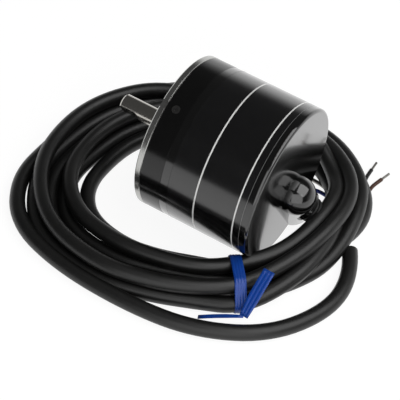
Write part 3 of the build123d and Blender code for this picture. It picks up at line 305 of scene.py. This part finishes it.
def ribbon(name, path, across, widths, thickness=0.45, ribs=4, closed=False):
    """Ribbed strip: its middle line, the direction of its width and its width at each place."""
    steps = 6 * ribs
    verts, faces = [], []
    for place, side, width in zip(path, across, widths):
        i = len(verts) // (2 * (steps + 1))
        ahead = path[(i + 1) % len(path)] if closed or i + 1 < len(path) else place
        behind = path[i - 1] if closed or i else place
        way = (ahead - behind).normalized()
        side = (side - way * side.dot(way)).normalized()
        out = side.cross(way)
        for k in range(steps + 1):
            t = k / steps
            edge = min(1.0, 8 * min(t, 1 - t))
            swell = thickness / 2 * (0.55 + 0.45 * abs(math.sin(math.pi * ribs * t))) * (0.5 + 0.5 * edge)
            verts.append(place + side * (width * (t - 0.5)) + out * swell)
            verts.append(place + side * (width * (t - 0.5)) - out * swell)
    row = 2 * (steps + 1)
    count = len(path)
    for i in range(count if closed else count - 1):
        a, b = i * row, (i + 1) % count * row
        for k in range(steps):
            faces.append((a + 2 * k, b + 2 * k, b + 2 * k + 2, a + 2 * k + 2))
            faces.append((a + 2 * k + 3, b + 2 * k + 3, b + 2 * k + 1, a + 2 * k + 1))
        faces.append((a + 1, b + 1, b, a))
        faces.append((a + row - 2, b + row - 2, b + row - 1, a + row - 1))
    if not closed:
        for start, flip in ((0, 1), ((count - 1) * row, -1)):
            ring = [start + 2 * k for k in range(steps + 1)]
            ring += [start + 2 * k + 1 for k in range(steps, -1, -1)]
            faces.append(tuple(ring[::flip]))
    mesh = bpy.data.meshes.new(name)
    mesh.from_pydata([v * MM for v in verts], [], faces)
    mesh.polygons.foreach_set("use_smooth", [True] * len(mesh.polygons))
    mesh.materials.append(tie_plastic)
    piece = bpy.data.objects.new(name, mesh)
    bpy.context.collection.objects.link(piece)
    return piece


# Where the turns cross the tie's plane, and the taut band round them
tie_width = 3.6
tie_inner, tie_outer = -13, 9.5
tie_clear = 2.75
tie_lowest = -24.75
tie_place = Vector((-41.3, 28.7, -19.65))
tie_across = Vector((-0.627, 0.779, 0)).normalized()
tie_along = Vector((0.779, 0.627, 0)).normalized()
crossings = []
for before, middle, after in zip(route, route[1:], route[2:]):
    samples = [curve_point(before, middle, after, t / 12) for t in range(13)]
    for near, far in zip(samples, samples[1:]):
        here, there = (near - tie_place).dot(tie_along), (far - tie_place).dot(tie_along)
        if here * there <= 0 and here != there:
            hit = near.lerp(far, here / (here - there))
            reach = (hit - tie_place).dot(tie_across)
            if tie_inner < reach < tie_outer:
                crossings.append((reach, hit.z))
band, seen = [], []
for degrees in range(0, 360, 5):
    turn = math.radians(degrees)
    aim = (math.cos(turn), math.sin(turn))
    reach, height = max(crossings, key=lambda c: c[0] * aim[0] + c[1] * aim[1])
    spot = (reach + aim[0] * tie_clear, max(height + aim[1] * tie_clear, tie_lowest))
    if not seen or math.dist(seen[-1], spot) > 0.2:
        seen.append(spot)
        band.append(tie_place + tie_across * spot[0] + Vector((0, 0, spot[1] - tie_place.z)))
tie = ribbon("tie_band", band, [tie_along] * len(band), [tie_width] * len(band), closed=True)
twist = Vector((-48.2, 37.4, -19.4))
broad_end = Vector((-48.5, 24.8, -10.4))
thin_end = Vector((-36.0, 42.3, -23.6))
tie_pieces = [tie]
for name, end, width, rise in (("tie_broad_end", broad_end, 3.7, 0.5), ("tie_thin_end", thin_end, 1.5, 0.3)):
    way = end - twist
    path = [twist + way * (k / 8) + Vector((0, 0, rise * math.sin(math.pi * k / 8))) for k in range(9)]
    sides = [way.cross(Vector((0, 0, 1)))] * 9
    tail_widths = [width * (0.75 + 0.25 * min(1, k / 3)) for k in range(9)]
    tie_pieces.append(ribbon(name, path, sides, tail_widths, ribs=3))
bpy.ops.object.select_all(action="DESELECT")
for piece in tie_pieces:
    piece.select_set(True)
bpy.context.view_layer.objects.active = tie
bpy.ops.object.join()
tie.name = "twist_tie"
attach(tie, "housing")
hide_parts("cable_tie")

# Floor, backdrop and light
floor_mesh = bpy.data.meshes.new("floor")
floor_mesh.from_pydata([(-3, -3, FLOOR), (3, -3, FLOOR), (3, 3, FLOOR), (-3, 3, FLOOR)], [], [(0, 1, 2, 3)])
floor = bpy.data.objects.new("floor", floor_mesh)
bpy.context.collection.objects.link(floor)
# White card: seen by the camera and in gloss as the bright card of the photograph, and it keeps soft shadows
paper = bpy.data.materials.new("white card")
paper.use_nodes = True
tree = paper.node_tree
card = tree.nodes["Principled BSDF"]
card.inputs["Base Color"].default_value = colour("f4f4f4")
card.inputs["Roughness"].default_value = 0.9
card.inputs["Specular IOR Level"].default_value = 0.0
ray = add(tree, "ShaderNodeLightPath", -600)
seen_or_shiny = add(tree, "ShaderNodeMath", -400)
seen_or_shiny.operation = "MAXIMUM"
tree.links.new(ray.outputs["Is Camera Ray"], seen_or_shiny.inputs[0])
tree.links.new(ray.outputs["Is Glossy Ray"], seen_or_shiny.inputs[1])
share = add(tree, "ShaderNodeMath", -200)
share.operation = "MULTIPLY"
tree.links.new(seen_or_shiny.outputs["Value"], share.inputs[0])
share.inputs[1].default_value = 0.85
glow = add(tree, "ShaderNodeEmission", -200, Color=colour("ffffff"), Strength=1.07)
both = add(tree, "ShaderNodeMixShader", 200, Fac=share.outputs["Value"])
tree.links.new(card.outputs["BSDF"], both.inputs[1])
tree.links.new(glow.outputs["Emission"], both.inputs[2])
tree.links.new(both.outputs["Shader"], tree.nodes["Material Output"].inputs["Surface"])
floor_mesh.materials.append(paper)

# World: white to the camera, and to everything else a bright card behind the object in a dim room
world = bpy.data.worlds.new("studio")
bpy.context.scene.world = world
world.use_nodes = True
tree = world.node_tree
ray = add(tree, "ShaderNodeLightPath", -800)
sight = add(tree, "ShaderNodeTexCoord", -1000).outputs["Generated"]
way = add(tree, "ShaderNodeSeparateXYZ", -800, Vector=sight)
low = add(tree, "ShaderNodeMapRange", -600, Value=way.outputs["Z"])
low.inputs["From Min"].default_value = 0.05
low.inputs["From Max"].default_value = 0.4
low.inputs["To Min"].default_value = 0.95
low.inputs["To Max"].default_value = 0.0
behind = add(tree, "ShaderNodeMapRange", -600, Value=way.outputs["Y"])
behind.inputs["From Min"].default_value = 0.1
behind.inputs["From Max"].default_value = -0.5
card_share = add(tree, "ShaderNodeMath", -500)
card_share.operation = "MULTIPLY"
tree.links.new(low.outputs["Result"], card_share.inputs[0])
tree.links.new(behind.outputs["Result"], card_share.inputs[1])
room = add(tree, "ShaderNodeMath", -450)
room.operation = "ADD"
tree.links.new(card_share.outputs["Value"], room.inputs[0])
room.inputs[1].default_value = 0.07
lit = add(tree, "ShaderNodeMath", -400)
lit.operation = "MAXIMUM"
tree.links.new(ray.outputs["Is Camera Ray"], lit.inputs[0])
tree.links.new(room.outputs["Value"], lit.inputs[1])
tree.links.new(lit.outputs["Value"], tree.nodes["Background"].inputs["Strength"])
tree.nodes["Background"].inputs["Color"].default_value = colour("ffffff")


def softbox(name, place, aim, size, power):
    light = bpy.data.objects.new(name, bpy.data.lights.new(name, "AREA"))
    light.data.shape = "RECTANGLE"
    light.data.size, light.data.size_y = size
    light.data.energy = power
    light.location = place
    light.rotation_euler = (Vector(aim) - Vector(place)).to_track_quat("-Z", "Y").to_euler()
    bpy.context.collection.objects.link(light)
    return light


softbox("high softbox", (-0.55, -0.1, 0.9), (-0.02, 0, 0), (1.2, 1.0), 9)
softbox("front softbox", (-0.5, 0.8, 0.4), (-0.02, 0, 0), (1.2, 1.0), 6)
bpy.context.scene.view_settings.view_transform = "Standard"
